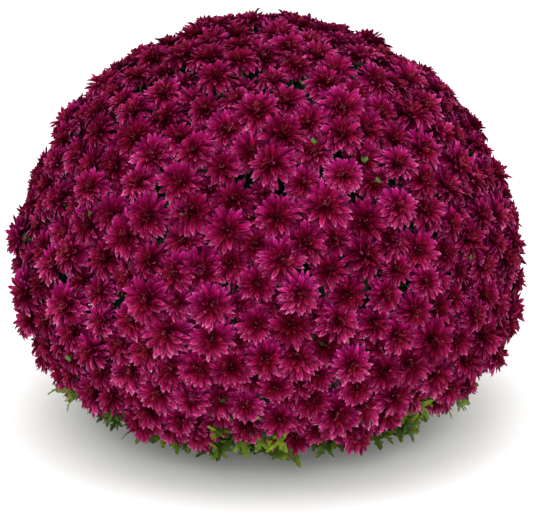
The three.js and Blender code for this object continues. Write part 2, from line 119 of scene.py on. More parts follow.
# Potting mix
MIX_GAP = 0.0018  # between it and the pot's wall
MIX_BASE_GAP = 0.0004
MIX_SAG = 0.005  # by which the mound is lower at its edge
MIX_ROUGHNESS = 0.0007
MIX_SEGMENTS = 120
CRUMBS = 620
PERLITE_SHARE = 0.16  # of the crumbs
PEAT, BARK, PERLITE = 0, 0.45, 1  # as the material tells them apart

# Blooms
BLOOM_RADIUS = 0.0262
BLOOM_RADIUS_VARIES = 0.12
BLOOM_TURN = 0.30  # how strongly low blooms turn up towards the light
BLOOM_TILT = 0.16  # spread of the tilt that is added to this
BLOOM_SET = 0.011  # the cup of a bloom lies this far below the canopy surface
BLOOM_SINK = 0.007  # by which some blooms stand deeper
BLOOM_CLOSING = 8  # degrees by which the petals of one bloom stand higher than those of another
FILLERS = 150  # smaller blooms that stand deeper, in the gaps between the others
FILLER_TRIALS = 6000  # places that they are chosen from
FILLER_RADIUS = 0.0215
FILLER_SIZES = (0.85, 1.1)
FILLER_SET = 0.023
FILLER_SET_VARIES = 0.003
FILLER_TILT = 0.2
FILLER_CLOSING = (0, 16)
BUDS = 46
BUD_RADIUS = 0.011
BUD_SIZES = (0.7, 1.3)
BUD_SET = (0.004, 0.012)
BUD_TILT = 0.2
BUD_CLOSING = (52, 70)
BUD_CALYX_RADIUS = 0.0048
BUD_CALYX_HEIGHT = 0.005

# How the petals of a layer differ: ranges of factors for their size and cup, and the spread of their rise,
# bend and curl in degrees, and of their sway and roll as slopes
PETAL_STRAY = 0.36  # from its place round the bloom, in steps from petal to petal
PETAL_LENGTHS = (0.84, 1.08)
PETAL_WIDTHS = (0.84, 1.14)
PETAL_CUPS = (0.6, 1.4)
RISE_SPREAD = 7
BEND_SPREAD = 14
CURL_SPREAD = 30
SWAY_SPREAD = 0.10
ROLL_SPREAD = 0.30

# Leaves
LEAF_LENGTH = 0.034
LEAF_SHARE = 0.95  # of its length that a leaf is wide
LEAF_COLUMNS = 3  # points across a leaf
LEAF_ARCH = (0.10, 0.45)  # how far the tip hangs, as a share of the length
LEAF_FOLD = (0.10, 0.60)  # how steeply the halves rise from the rib
LEAF_SWAY = 0.16  # how far the tip leans aside, as a share of the length
LEAF_RIPPLE = 0.14
LEAF_REACH = 1.2  # of its length, how far a leaf's tip may be from where its stalk starts
LEAF_CLEARANCE = 0.042  # of the lowest leaf tips over the floor
INNER_DEPTH = 0.045  # leaves deeper than this are plainer
INNER_RISE = 3.0  # a leaf grows only where its bloom is higher than so many times its depth
FRINGE_LEAVES = 4  # at each place under the skirt
FRINGE_ANGLE = 131  # degrees from straight up, down to which they grow
FRINGE_SET = (0.020, 0.042)
FRINGE_START_RADIUS = 0.135
FRINGE_START_Z = (0.15, 0.19)
STALK_LENGTH = 0.010
STALK_RADII = (0.0012, 0.0009)
STALK_TO_LEAF = 0.008  # from where a stalk starts to where its leaf does

# Leaves under each bloom: depth below it, size as a share of the leaf length, and greatest tone
# The greatest tone falls with depth, so deeper leaves are darker: painted shade
UNDER_LEAVES = (
    (0.026, 0.95, 0.35),
    (0.038, 1.20, 0.20),
    (0.052, 1.60, 0.10),
    (0.075, 1.90, 0.10),
)

# Photograph: its width, its scale at the canopy's axis, and the camera
PHOTO_WIDTH = 540
PIXELS_PER_METRE = 874
VIEW_ELEVATION = 18
VIEW_DISTANCE = 2.6
VIEW_TARGET = Vector((0.001, 0, 0.192))
SENSOR_WIDTH = 36  # mm

# Lights: the strength of the white surroundings, the point that the lamps face, and each lamp's name, place,
# size and power
SURROUNDINGS = 1.38
LIT_POINT = Vector((0, 0, 0.2))
LAMPS = (
    ("overhead", (0, -0.3, 2.2), 1.6, 18),
    ("front", (-0.1, -2.5, 1.2), 1.4, 30),
)

GOLDEN_ANGLE = math.pi * (3 - math.sqrt(5))
CENTRE = np.array([0, 0, CANOPY_CENTRE_Z])
UP = np.array([0, 0, 1.0])


def seeded(seed):
    """Random draws from 0 to 1, by the same rule as in the part's source."""
    state = seed
    while True:
        state = (state * 1664525 + 1013904223) % 4294967296
        yield state / 4294967296


def unit(vectors):
    """Vectors brought to length 1, along the last axis."""
    vectors = np.asarray(vectors, float)
    return vectors / np.linalg.norm(vectors, axis=-1, keepdims=True)


def cos_degrees(angle):
    """Cosine of an angle in degrees."""
    return math.cos(math.radians(angle))


def canopy_radius(directions):
    """Distance of the canopy surface from its centre, in each direction."""
    x, y, z = directions[..., 0], directions[..., 1], directions[..., 2]
    half_height = np.where(z >= 0, CANOPY_TOP - CANOPY_CENTRE_Z, CANOPY_LOWER)
    azimuth = np.arctan2(y, x)
    swell = np.sin(3 * azimuth + 5 * z) * np.sin(4 * z + 1 + azimuth)
    smooth = 1 / np.hypot(np.hypot(x, y) / CANOPY_RADIUS, z / half_height)
    return smooth + BILLOW * swell * (1 - z * z)


def at_depth(directions, depth):
    """Points at a depth below the canopy surface."""
    reach = canopy_radius(directions) - depth
    return CENTRE + directions * np.asarray(reach)[..., None]


def ring_point(radius, angle, height):
    """A point at a distance from the axis, in a direction round it, and a height."""
    return np.array([radius * math.cos(angle), radius * math.sin(angle), height])


def spiral(count, lowest=-1.0):
    """Directions spread evenly from straight up down to a lowest height."""
    steps = np.arange(count)
    z = 1 - (steps + 0.5) / count * (1 - lowest)
    across = np.sqrt(1 - z * z)
    azimuth = steps * GOLDEN_ANGLE
    return np.stack([across * np.cos(azimuth), across * np.sin(azimuth), z], 1)


def bloom_sites():
    """Directions of the blooms: an even spiral, jittered and then eased apart, as in the part's source."""
    draw = seeded(SEED)
    spacing = math.sqrt(4 * math.pi / SITES)
    jitter = np.array([next(draw) - 0.5 for _ in range(3 * SITES)]).reshape(-1, 3)
    places = unit(spiral(SITES) + 2 * JITTER * spacing * jitter)
    for _ in range(3):
        apart = places[:, None] - places[None]
        gap = np.linalg.norm(apart, axis=2)
        push = np.where((gap > 0) & (gap < spacing), (spacing - gap) / np.maximum(gap, 1e-9) / 3, 0)
        places = unit(places + (apart * push[..., None]).sum(1))
    return places


def shoot_angles():
    """Directions round the axis in which leafy shoots hang."""
    draw = seeded(SEED + 4)
    return [2 * math.pi * (k + SHOOT_JITTER * next(draw)) / SHOOTS for k in range(SHOOTS)]


def bears_bloom(places):
    """Whether a bloom grows at each place: above the skirt's edge, which is higher over each leafy shoot."""
    azimuth = np.arctan2(places[:, 1], places[:, 0])
    nearest = np.max([np.cos(azimuth - angle) for angle in shoot_angles()], axis=0)
    opened = nearest > cos_degrees(WINDOW_WIDTH / 2)
    return places[:, 2] > np.where(opened, cos_degrees(WINDOW_ANGLE), cos_degrees(SKIRT_ANGLE))


def gather_sprays(places):
    """The spray that each bloom belongs to, and each spray's middle direction."""
    axes = spiral(SPRAYS, cos_degrees(SKIRT_ANGLE))
    for _ in range(SPRAY_PASSES):
        owners = np.argmax(places @ axes.T, axis=1)
        axes = unit([places[owners == number].sum(0) for number in range(SPRAYS)])
    return owners, axes


def axes_of(facing):
    """Right and upward directions for things that face out along directions."""
    facing = unit(facing)
    right = np.cross(UP, facing)
    right = np.where(np.linalg.norm(right, axis=-1, keepdims=True) < 1e-3, [1.0, 0, 0], right)
    right = unit(right)
    return right, np.cross(facing, right), facing


# Meshes

STEM = 1  # the second material of the greens, after that of the leaves


def in_scene(name, data):
    """A new object in the scene that shows a mesh, a light or a camera."""
    made = bpy.data.objects.new(name, data)
    bpy.context.scene.collection.objects.link(made)
    return made


class Heap:
    """Points, triangles and named numbers gathered from many small forms, to be one mesh."""

    def __init__(self):
        self.points = []
        self.faces = []
        self.materials = []
        self.fields = []
        self.count = 0

    def add(self, points, faces, material=0, **fields):
        """One more form, whose faces count its own points from 0."""
        points = np.asarray(points, float).reshape(-1, 3)
        self.points.append(points)
        self.faces.append(np.asarray(faces, int).reshape(-1, 3) + self.count)
        self.materials.append(np.full(len(self.faces[-1]), material))
        self.fields.append(
            {name: np.broadcast_to(np.asarray(value, float), len(points)) for name, value in fields.items()}
        )
        self.count += len(points)

    def build(self, name, materials):
        """All of it as one object, with the named numbers as attributes of its points."""
        mesh = bpy.data.meshes.new(name)
        faces = np.concatenate(self.faces)
        mesh.from_pydata(np.concatenate(self.points).tolist(), [], faces.tolist(), shade_flat=False)
        for field in sorted({key for fields in self.fields for key in fields}):
            values = [
                fields.get(field, np.zeros(len(points))) for fields, points in zip(self.fields, self.points)
            ]
            attribute = mesh.attributes.new(field, "FLOAT", "POINT")
            attribute.data.foreach_set("value", np.concatenate(values).astype(np.float32))
        for material in materials:
            mesh.materials.append(material)
        mesh.polygons.foreach_set("material_index", np.concatenate(self.materials).astype(np.int32))
        mesh.update()
        return in_scene(name, mesh)


def keep(piece, slot, *nodes):
    """The piece rides on the part's one body and stands for nodes of the frame; the slot is not used."""
    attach(piece, "root")
    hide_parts(*nodes)


def grid_faces(rows, columns, closed=False):
    """Triangles between rows of points, of which each row may close on itself."""
    faces = []
    for row in range(rows - 1):
        for column in range(columns if closed else columns - 1):
            a = row * columns + column
            b = row * columns + (column + 1) % columns
            faces.append((a, b, b + columns))
            faces.append((a, b + columns, a + columns))
    return np.array(faces)


def curve(start, control, end, count):
    """Points on a bend from start to end that heads for the control point first."""
    t = np.linspace(0, 1, count)[:, None]
    return (1 - t) ** 2 * start + 2 * t * (1 - t) * control + t**2 * end


def add_tube(heap, path, radii, sides, **fields):
    """A stem along a path, closed at both ends."""
    path = np.asarray(path, float)
    radii = np.broadcast_to(np.asarray(radii, float), len(path))
    along = unit(np.gradient(path, axis=0))
    reference = np.eye(3)[np.argmin(np.abs(path[-1] - path[0]))]
    side = unit(np.cross(along, reference))
    upward = np.cross(along, side)
    angles = 2 * math.pi * np.arange(sides) / sides
    spokes = np.cos(angles)[None, :, None] * side[:, None] + np.sin(angles)[None, :, None] * upward[:, None]
    rings = path[:, None] + radii[:, None, None] * spokes
    last = (len(path) - 1) * sides
    caps = [(0, k + 1, k) for k in range(1, sides - 1)]
    caps += [(last, last + k, last + k + 1) for k in range(1, sides - 1)]
    heap.add(rings, np.concatenate([grid_faces(len(path), sides, closed=True), caps]), **fields)


# Half outlines of leaves: a place on the rib, and the point of the edge that it leads to, as shares of the
# length and of half the width. Two side lobes stand forward like fingers, and the end lobe has teeth
LEAF_FINE = (
    (0.00, 0.000, 0.03),
    (0.16, 0.160, 0.04),
    (0.20, 0.220, 0.16),
    (0.23, 0.290, 0.50),
    (0.25, 0.350, 0.76),
    (0.27, 0.400, 0.84),
    (0.29, 0.425, 0.76),
    (0.32, 0.405, 0.48),
    (0.36, 0.375, 0.15),
    (0.43, 0.460, 0.16),
    (0.46, 0.550, 0.50),
    (0.49, 0.630, 0.82),
    (0.51, 0.690, 1.00),
    (0.54, 0.725, 0.94),
    (0.57, 0.695, 0.60),
    (0.61, 0.650, 0.18),
    (0.68, 0.700, 0.20),
    (0.74, 0.780, 0.32),
    (0.78, 0.820, 0.30),
    (0.82, 0.835, 0.18),
    (0.90, 0.920, 0.18),
    (0.96, 0.980, 0.09),
    (1.00, 1.000, 0.00),
)
LEAF_PLAIN = (
    (0.00, 0.000, 0.04),
    (0.21, 0.240, 0.34),
    (0.26, 0.385, 0.84),
    (0.30, 0.425, 0.62),
    (0.37, 0.400, 0.22),
    (0.50, 0.640, 0.96),
    (0.55, 0.720, 0.84),
    (0.62, 0.660, 0.22),
    (0.77, 0.810, 0.38),
    (0.90, 0.920, 0.22),
    (1.00, 1.000, 0.00),
)
LEAF_INNER = (
    (0.00, 0.00, 0.05),
    (0.26, 0.38, 0.84),
    (0.37, 0.40, 0.34),
    (0.53, 0.68, 1.00),
    (0.64, 0.66, 0.30),
    (0.80, 0.84, 0.36),
    (1.00, 1.00, 0.00),
)


def add_leaf(heap, base, along, normal, length, tone, outline, rng):
    """A lobed leaf from its base along a direction, arched down at its tip and a little wavy."""
    along = unit(along)
    across = unit(np.cross(normal, along))
    normal = np.cross(along, across)
    rib, edge, half = (values[:, None] for values in np.array(outline).T)
    share = np.linspace(-1, 1, LEAF_COLUMNS)
    arch = rng.uniform(*LEAF_ARCH)
    fold = rng.uniform(*LEAF_FOLD)
    sway = rng.uniform(-LEAF_SWAY, LEAF_SWAY)
    wave = rng.uniform(0, 2 * math.pi)
    ahead = rib + (edge - rib) * np.abs(share)
    aside = share * half * (LEAF_SHARE * length) / 2
    ripple = LEAF_RIPPLE * aside * np.sin(8 * ahead + wave)
    high = fold * np.abs(aside) - arch * length * ahead**2 + ripple
    bent = aside + sway * length * ahead**2
    points = base + length * ahead[..., None] * along + bent[..., None] * across + high[..., None] * normal
    heap.add(
        points,
        grid_faces(len(rib), LEAF_COLUMNS)[:, ::-1],
        along=(rib * np.ones(LEAF_COLUMNS)).ravel(),
        aside=(share * half).ravel(),
        tone=tone,
    )


# Layers of petals from the outside in: how many petals, their length and width as shares of the bloom's
# radius, their rise at the base and its change towards the tip in degrees, and how far their sides rise over
# the rib, as a share of their width
LAYERS = (
    (16, 0.82, 0.190, -6, -44, 0.36),
    (21, 0.93, 0.190, 8, -36, 0.38),
    (21, 0.89, 0.186, 19, -30, 0.40),
    (19, 0.81, 0.176, 29, -22, 0.42),
    (16, 0.71, 0.158, 38, -12, 0.44),
    (13, 0.61, 0.145, 45, 4, 0.46),
    (11, 0.51, 0.130, 50, 22, 0.48),
    (8, 0.43, 0.110, 56, 36, 0.50),
    (5, 0.35, 0.090, 62, 48, 0.50),
)
FILLER_LAYERS = LAYERS[1::2]
BUD_LAYERS = LAYERS[1:3]
PETAL_ROOT = 0.08  # distance of an outer petal's base from the bloom's axis, as a share of its radius
PETAL_CURL = 18  # degrees by which the tips turn up again
INNER_STEADY = 0.6  # share of a bloom's closing that its innermost petals don't take part in
BEND_STEPS = 20  # that a petal's bend is worked out in
STATIONS = np.array([0, 0.50, 0.85])  # shares of a petal's length where it has points, apart from its tip
STATION_WIDTH = np.array([0.52, 1.0, 0.80])
PETAL_POINTS = 3 * len(STATIONS) + 1
PETAL_ALONG = np.append(np.repeat(STATIONS, 3), 1.0)
PETAL_EDGE = np.append(np.tile([1.0, 0.0, 1.0], len(STATIONS)), 0.8)


def petal_faces():
    """Triangles of one petal: strips either side of its rib, and the tip."""
    last = 3 * (len(STATIONS) - 1)
    tip = PETAL_POINTS - 1
    tips = [(last, tip, last + 1), (last + 1, tip, last + 2)]
    return np.concatenate([grid_faces(len(STATIONS), 3)[:, ::-1], tips])


def petal_draws(count, layers, rng):
    """Named columns of numbers, with a row for each petal of count blooms."""
    drawn = []
    for number, (petals, length, width, rise, bend, cup) in enumerate(layers):
        shape = (count, petals)
        start = rng.uniform(0, 2 * math.pi, (count, 1))
        steps = np.arange(petals) + rng.uniform(-PETAL_STRAY, PETAL_STRAY, shape)
        drawn.append(
            {
                "bloom": np.broadcast_to(np.arange(count)[:, None], shape),
                "layer": np.full(shape, number / (len(LAYERS) - 1)),
                "azimuth": start + 2 * math.pi * steps / petals,
                "length": length * rng.uniform(*PETAL_LENGTHS, shape),
                "width": width * rng.uniform(*PETAL_WIDTHS, shape),
                "rise": np.radians(rise + rng.normal(0, RISE_SPREAD, shape)),
                "bend": np.radians(bend + rng.normal(0, BEND_SPREAD, shape)),
                "cup": cup * rng.uniform(*PETAL_CUPS, shape),
                "curl": np.radians(PETAL_CURL + rng.normal(0, CURL_SPREAD, shape)),
                "sway": rng.normal(0, SWAY_SPREAD, shape),
                "roll": rng.normal(0, ROLL_SPREAD, shape),
                "petal": rng.uniform(0, 1, shape),
            }
        )
    return {name: np.concatenate([columns[name].reshape(-1, 1) for columns in drawn]) for name in drawn[0]}


def petal_points(draws, radii, closing):
    """Points of the petals in the frames of their blooms, with +Z along each bloom's axis."""
    layer, length, cup, roll = (draws[name] for name in ("layer", "length", "cup", "roll"))
    size = radii[draws["bloom"]]

    # The rib, worked out in small steps along the petal
    rise = draws["rise"] + closing[draws["bloom"]] * (1 - INNER_STEADY * layer)
    fine = np.linspace(0, 1, BEND_STEPS + 1)
    angle = rise + draws["bend"] * fine + draws["curl"] * fine**5
    nothing = np.zeros((len(size), 1))
    out = np.concatenate([nothing, np.cumsum(np.cos(angle[:, 1:]), 1) / BEND_STEPS], 1)
    high = np.concatenate([nothing, np.cumsum(np.sin(angle[:, 1:]), 1) / BEND_STEPS], 1)

    # Its points at the stations and the tip
    steps = np.append(STATIONS, 1.0)
    picks = np.round(steps * BEND_STEPS).astype(int)
    radial = (PETAL_ROOT * (1 - layer) + length * out[:, picks]) * size
    lift = length * high[:, picks] * size
    aside = draws["sway"] * steps**2 * (length * size)

    # Three points across at each station, and one at the tip
    last = len(STATIONS)
    half = 0.5 * draws["width"] * STATION_WIDTH * size
    slope = angle[:, picks[:last]]
    points = np.zeros((len(size), PETAL_POINTS, 3))
    for k, side in enumerate((-1, 0, 1)):
        raised = (2 * cup * abs(side) + roll * side) * half
        points[:, k : 3 * last : 3, 0] = radial[:, :last] - raised * np.sin(slope)
        points[:, k : 3 * last : 3, 1] = aside[:, :last] + side * half
        points[:, k : 3 * last : 3, 2] = lift[:, :last] + raised * np.cos(slope)
    points[:, -1] = np.stack([radial[:, -1], aside[:, -1], lift[:, -1]], -1)

    # Each petal turned to its place round the bloom
    turn_cos = np.cos(draws["azimuth"])
    turn_sin = np.sin(draws["azimuth"])
    x = points[..., 0] * turn_cos - points[..., 1] * turn_sin
    y = points[..., 0] * turn_sin + points[..., 1] * turn_cos
    return np.stack([x, y, points[..., 2]], -1)


def add_blooms(heap, places, facings, radii, closing, tones, layers, rng):
    """Whole blooms, petal by petal."""
    draws = petal_draws(len(places), layers, rng)
    which = draws["bloom"][:, 0]
    count = len(which)
    local = petal_points(draws, radii, closing)
    right, upward, facing = (axis[which][:, None] for axis in axes_of(facings))
    points = (
        places[which][:, None]
        + local[..., :1] * right
        + local[..., 1:2] * upward
        + local[..., 2:] * facing
    )
    faces = petal_faces()[None] + PETAL_POINTS * np.arange(count)[:, None, None]
    # How far each petal points down: the petal material colours by it, partly with painted reflection and
    # painted highlight
    pointing_up = np.cos(draws["azimuth"]) * right[..., 2] + np.sin(draws["azimuth"]) * upward[..., 2]
    heap.add(
        points,
        faces,
        along=np.tile(PETAL_ALONG, count),
        edge=np.tile(PETAL_EDGE, count),
        layer=np.repeat(draws["layer"], PETAL_POINTS),
        petal=np.repeat(draws["petal"], PETAL_POINTS),
        hang=np.repeat(0.5 - 0.5 * pointing_up, PETAL_POINTS),
        tone=np.repeat(tones[which], PETAL_POINTS),
    )


def add_calyx(heap, place, facing, radius, height):
    """The green cup of bracts that a bloom sits in."""
    path = [place - facing * height * share for share in (1, 0.6, 0.1)]
    add_tube(heap, path, [radius * 0.3, radius * 0.95, radius * 0.7], CALYX_SIDES, material=STEM, tone=0.7)


# Where the blooms, the fillers and the buds stand


def turn_up(directions):
    """What is added to the directions that blooms face, so that the low ones turn up towards the light."""
    return BLOOM_TURN * (1 - directions[:, 2:]) ** 2 * UP


def place_fillers():
    """Smaller blooms in the widest gaps: where each stands, which way it faces, and its spray."""
    rng = np.random.default_rng(SEED + 9)
    trials = spiral(FILLER_TRIALS, cos_degrees(SKIRT_ANGLE - 4))
    trials = trials[bears_bloom(trials)]
    gap = np.min([np.linalg.norm(trials - site, axis=1) for site in sites], axis=0)
    picks = []
    for _ in range(FILLERS):
        picks.append(trials[np.argmax(gap)])
        gap = np.minimum(gap, np.linalg.norm(trials - picks[-1], axis=1))
    picks = np.array(picks)
    places = at_depth(picks, FILLER_SET + rng.uniform(-FILLER_SET_VARIES, FILLER_SET_VARIES, FILLERS))
    facings = unit(picks + turn_up(picks) + rng.normal(0, FILLER_TILT, picks.shape))
    return places, facings, spray_of[np.argmax(picks @ sites.T, axis=1)]


def place_buds():
    """Buds beside some of the blooms: the bloom of each, where it stands, and which way it faces."""
    rng = np.random.default_rng(SEED + 7)
    hosts = rng.choice(len(sites), BUDS, replace=False)
    places, facings = [], []
    for host in hosts:
        near = np.argsort(-(sites @ sites[host]))[1:3]
        between = unit(sites[host] + sites[near[0]] + 0.8 * sites[near[1]])
        places.append(at_depth(between, rng.uniform(*BUD_SET)))
        facings.append(unit(between + rng.normal(0, BUD_TILT, 3)))
    return hosts, np.array(places), np.array(facings)


all_sites = bloom_sites()
borne = bears_bloom(all_sites)
lift_draws = seeded(SEED + 1)
lifts = np.array([BLOOM_LIFT * (2 * next(lift_draws) - 1) for _ in range(SITES)])[borne]
sites = all_sites[borne]
spray_of, spray_axes = gather_sprays(sites)

shape_rng = np.random.default_rng(SEED)
bloom_facing = unit(sites + turn_up(sites) + shape_rng.normal(0, BLOOM_TILT, sites.shape))
bloom_place = at_depth(sites, BLOOM_SET - lifts + shape_rng.uniform(0, BLOOM_SINK, len(sites)))
bloom_size = np.clip(shape_rng.normal(0, 1, len(sites)), -1.6, 1.8)
bloom_radius = BLOOM_RADIUS * (1 + BLOOM_RADIUS_VARIES * bloom_size)
bloom_closing = np.radians(shape_rng.normal(0, BLOOM_CLOSING, len(sites)))
bloom_tone = shape_rng.uniform(0, 1, len(sites))

filler_places, filler_facings, filler_sprays = place_fillers()
bud_hosts, bud_places, bud_facings = place_buds()


# Sprays, stems and leaves


def branch_path(number):
    """The branch of a spray, from the nearest fork of the stems to the hub that the twigs rise from."""
    hub = at_depth(spray_axes[number], HUB_DEPTH)
    angles = [2 * math.pi * k / STEMS + STEM_TURN for k in range(STEMS)]
    forks = [ring_point(FORK_RADIUS - FORK_INSET, angle, FORK_HEIGHT - FORK_DROP) for angle in angles]
    fork = min(forks, key=lambda point: np.linalg.norm(point - hub))
    return curve(fork, (fork + hub) / 2 + BRANCH_BOW * UP, hub, BRANCH_POINTS)


def add_fillers(heap, number, rng):
    """The smaller and deeper blooms of one spray."""
    deep = filler_sprays == number
    count = deep.sum()
    radii = FILLER_RADIUS * rng.uniform(*FILLER_SIZES, count)
    closing = np.radians(rng.uniform(*FILLER_CLOSING, count))
    tones = rng.uniform(0, 0.5, count)
    add_blooms(heap, filler_places[deep], filler_facings[deep], radii, closing, tones, FILLER_LAYERS, rng)


def add_buds(heap, buds, rng):
    """Half-open buds: two layers of petals that stand almost upright."""
    closing = np.radians(rng.uniform(*BUD_CLOSING, len(buds)))
    radii = BUD_RADIUS * rng.uniform(*BUD_SIZES, len(buds))
    tones = np.full(len(buds), 0.3)
    add_blooms(heap, bud_places[buds], bud_facings[buds], radii, closing, tones, BUD_LAYERS, rng)


def add_under_leaves(heap, place, facing, rng):
    """Leaves at several depths below one bloom, which close the gaps beside it, darker the deeper they lie,
    as painted shade.
    """
    for depth, size, tone in UNDER_LEAVES:
        if place[2] < INNER_RISE * depth:
            continue
        base = place - facing * depth * rng.uniform(0.8, 1.2)
        along = unit(np.cross(facing, rng.normal(0, 1, 3))) + rng.uniform(-0.2, 0.5) * facing
        length = size * LEAF_LENGTH * rng.uniform(0.85, 1.15)
        along = clear_of_floor(base, unit(along), length)
        normal = facing + rng.normal(0, 0.45, 3)
        outline = LEAF_INNER if depth > INNER_DEPTH else LEAF_PLAIN
        add_leaf(heap, base, along, normal, length, tone * rng.random(), outline, rng)


def build_spray(number, petal_look, leaf_look, stem_look):
    """One spray: its blooms, and under them the leaves and the twigs that carry it all."""
    members = np.flatnonzero(spray_of == number)
    own_buds = np.flatnonzero(np.isin(bud_hosts, members))
    rng = np.random.default_rng(SEED + 100 + number)
    name = f"bloom_spray_{number + 1:02d}"
    blooms = Heap()
    shapes = (bloom_place, bloom_facing, bloom_radius, bloom_closing, bloom_tone)
    add_blooms(blooms, *(values[members] for values in shapes), LAYERS, rng)
    add_fillers(blooms, number, rng)
    if len(own_buds):
        add_buds(blooms, own_buds, rng)
    keep(blooms.build(f"{name}_petals", [petal_look]), "blooms", name)

    greens = Heap()
    branch = branch_path(number)
    twig_radii = np.linspace(1.3, 0.9, TWIG_POINTS) * TWIG_RADIUS
    for i in members:
        place, facing = bloom_place[i], bloom_facing[i]
        add_calyx(greens, place, facing, CALYX_RADIUS, CALYX_HEIGHT)
        start = branch[rng.integers(5, BRANCH_POINTS)]
        seat = place - facing * CALYX_HEIGHT
        path = curve(start, seat - 0.5 * np.linalg.norm(seat - start) * facing, seat, TWIG_POINTS)
        add_tube(greens, path, twig_radii, TWIG_SIDES, material=STEM, tone=0.5)
        add_under_leaves(greens, place, facing, rng)
    for k in own_buds:
        host = bloom_place[bud_hosts[k]] - 0.03 * bloom_facing[bud_hosts[k]]
        place, facing = bud_places[k], bud_facings[k]
        add_calyx(greens, place, facing, BUD_CALYX_RADIUS, BUD_CALYX_HEIGHT)
        path = curve(host, place - 0.02 * facing, place - BUD_CALYX_HEIGHT * facing, 5)
        add_tube(greens, path, TWIG_RADIUS * 0.8, TWIG_SIDES, material=STEM, tone=0.5)
    keep(greens.build(f"{name}_greens", [leaf_look, stem_look]), "foliage", name)


def build_stems(leaf_look, stem_look):
    """Crown, main stems, branches, and the leafy shoots that hang over the pot's rim."""
    heap = Heap()
    rng = np.random.default_rng(SEED + 50)
    levels = (MIX_TOP - CROWN_DEPTH, MIX_TOP - 0.002, CROWN_TOP - 0.005, CROWN_TOP)
    crown = [ring_point(0, 0, z) for z in levels]
    add_tube(heap, crown, CROWN_RADIUS * np.array([0.8, 1, 0.85, 0.5]), CROWN_SIDES, material=STEM, tone=0)
    for k in range(STEMS):
        angle = 2 * math.pi * k / STEMS + STEM_TURN
        foot = ring_point(CROWN_RADIUS - 0.008, angle, CROWN_TOP - 0.010)
        knee = ring_point(CROWN_RADIUS + 0.006, angle, CROWN_TOP + 0.036)
        fork = ring_point(FORK_RADIUS, angle, FORK_HEIGHT)
        path = curve(foot, knee, fork, 12)
        radii = np.linspace(STEM_RADIUS, STEM_TIP_RADIUS, len(path))
        add_tube(heap, path, radii, STEM_SIDES, material=STEM, tone=0.1)
    for number in range(SPRAYS):
        radii = np.linspace(BRANCH_RADIUS, BRANCH_TIP_RADIUS, BRANCH_POINTS)
        add_tube(heap, branch_path(number), radii, BRANCH_SIDES, material=STEM, tone=0.3)
    for angle in shoot_angles():
        add_shoot(heap, angle, rng)
    add_fringe(heap, rng)
    keep(heap.build("green_stems_and_leaves", [leaf_look, stem_look]), "foliage", "stems_and_leaves")


# Leaves on a shoot: the step of its path, and how far the leaf turns aside and droops, in degrees
SHOOT_LEAVES = (
    (10, 30, 20),
    (10, -30, 20),
    (11, 0, 26),
    (12, 55, 34),
    (12, -55, 34),
    (13, 28, 30),
    (13, -30, 30),
    (14, 60, 36),
    (14, -60, 36),
    (15, 0, 40),
    (15, 40, 20),
    (15, -40, 20),
)


def add_shoot(heap, angle, rng):
    """A shoot from low on the stems over the pot's rim, with leaves that hang out below the blooms."""
    stem = round((angle - STEM_TURN) / (2 * math.pi) * STEMS)
    foot = ring_point(CROWN_RADIUS + 0.006, 2 * math.pi * stem / STEMS + STEM_TURN, CROWN_TOP + 0.026)
    over = ring_point(SHOOT_OVER_RADIUS, angle, SHOOT_OVER_Z)
    end = ring_point(SHOOT_HANG_RADIUS, angle, SHOOT_END_Z)
    rise = curve(foot, foot * 0.5 + over * 0.5 + 0.014 * UP, over, 8)
    drop = curve(over, ring_point(SHOOT_HANG_RADIUS + 0.006, angle, SHOOT_OVER_Z - 0.012), end, 9)
    path = np.concatenate([rise, drop[1:]])
    radii = np.linspace(SHOOT_RADIUS, SHOOT_TIP_RADIUS, len(path))
    add_tube(heap, path, radii, BRANCH_SIDES, material=STEM, tone=0.6)
    for step, turn, droop in SHOOT_LEAVES:
        heading = angle + math.radians(turn + rng.uniform(-10, 10))
        add_hanging_leaf(heap, path[step], heading, droop + rng.uniform(-8, 6), rng.uniform(1.05, 1.3), rng)


def clear_of_floor(base, along, length):
    """The direction of a leaf, turned up where its tip would come too near the floor."""
    lowest = (LEAF_CLEARANCE - base[2]) / (LEAF_REACH * length)
    if along[2] >= lowest:
        return along
    level = np.array([along[0], along[1], 0]) / max(math.hypot(along[0], along[1]), 1e-6)
    return unit(level * math.sqrt(max(1 - lowest**2, 0.01)) + lowest * UP)


def add_hanging_leaf(heap, base, heading, droop, size, rng):
    """A leaf on a short stalk that leans out and down."""
    length = size * LEAF_LENGTH
    along = unit(ring_point(1, heading, -math.tan(math.radians(droop))))
    along = clear_of_floor(base, along, length)
    add_tube(heap, [base, base + STALK_LENGTH * along], STALK_RADII, STALK_SIDES, material=STEM, tone=0.7)
    normal = UP + rng.normal(0, 0.5, 3)
    tone = rng.uniform(0.3, 1)
    add_leaf(heap, base + STALK_TO_LEAF * along, along, normal, length, tone, LEAF_FINE, rng)


def add_fringe(heap, rng):
    """Leaves on twigs all round under the skirt, where the canopy bears no more blooms."""
    for spot in all_sites[~borne & (all_sites[:, 2] > cos_degrees(FRINGE_ANGLE))]:
        heading = math.atan2(spot[1], spot[0])
        end = at_depth(spot, rng.uniform(*FRINGE_SET))
        start = ring_point(FRINGE_START_RADIUS, heading, rng.uniform(*FRINGE_START_Z))
        path = curve(start, start * 0.4 + end * 0.6 + 0.02 * UP, end, TWIG_POINTS)
        radii = np.linspace(0.002, STALK_RADII[0], TWIG_POINTS)
        add_tube(heap, path, radii, STALK_SIDES, material=STEM, tone=0.6)
        for _ in range(FRINGE_LEAVES):
            turn = heading + math.radians(rng.uniform(-60, 60))
            add_hanging_leaf(heap, end, turn, rng.uniform(0, 45), rng.uniform(0.7, 1.05), rng)


# Pot and potting mix


def lathe(profile, segments):
    """Points of a round form on the axis, ring by ring, and the triangles between them."""
    angles = 2 * math.pi * np.arange(segments) / segments
    radii, heights = np.array(profile).T
    level = np.broadcast_to(heights[:, None], (len(radii), segments))
    rings = np.stack([radii[:, None] * np.cos(angles), radii[:, None] * np.sin(angles), level], -1)
    return rings, grid_faces(len(radii), segments, closed=True)


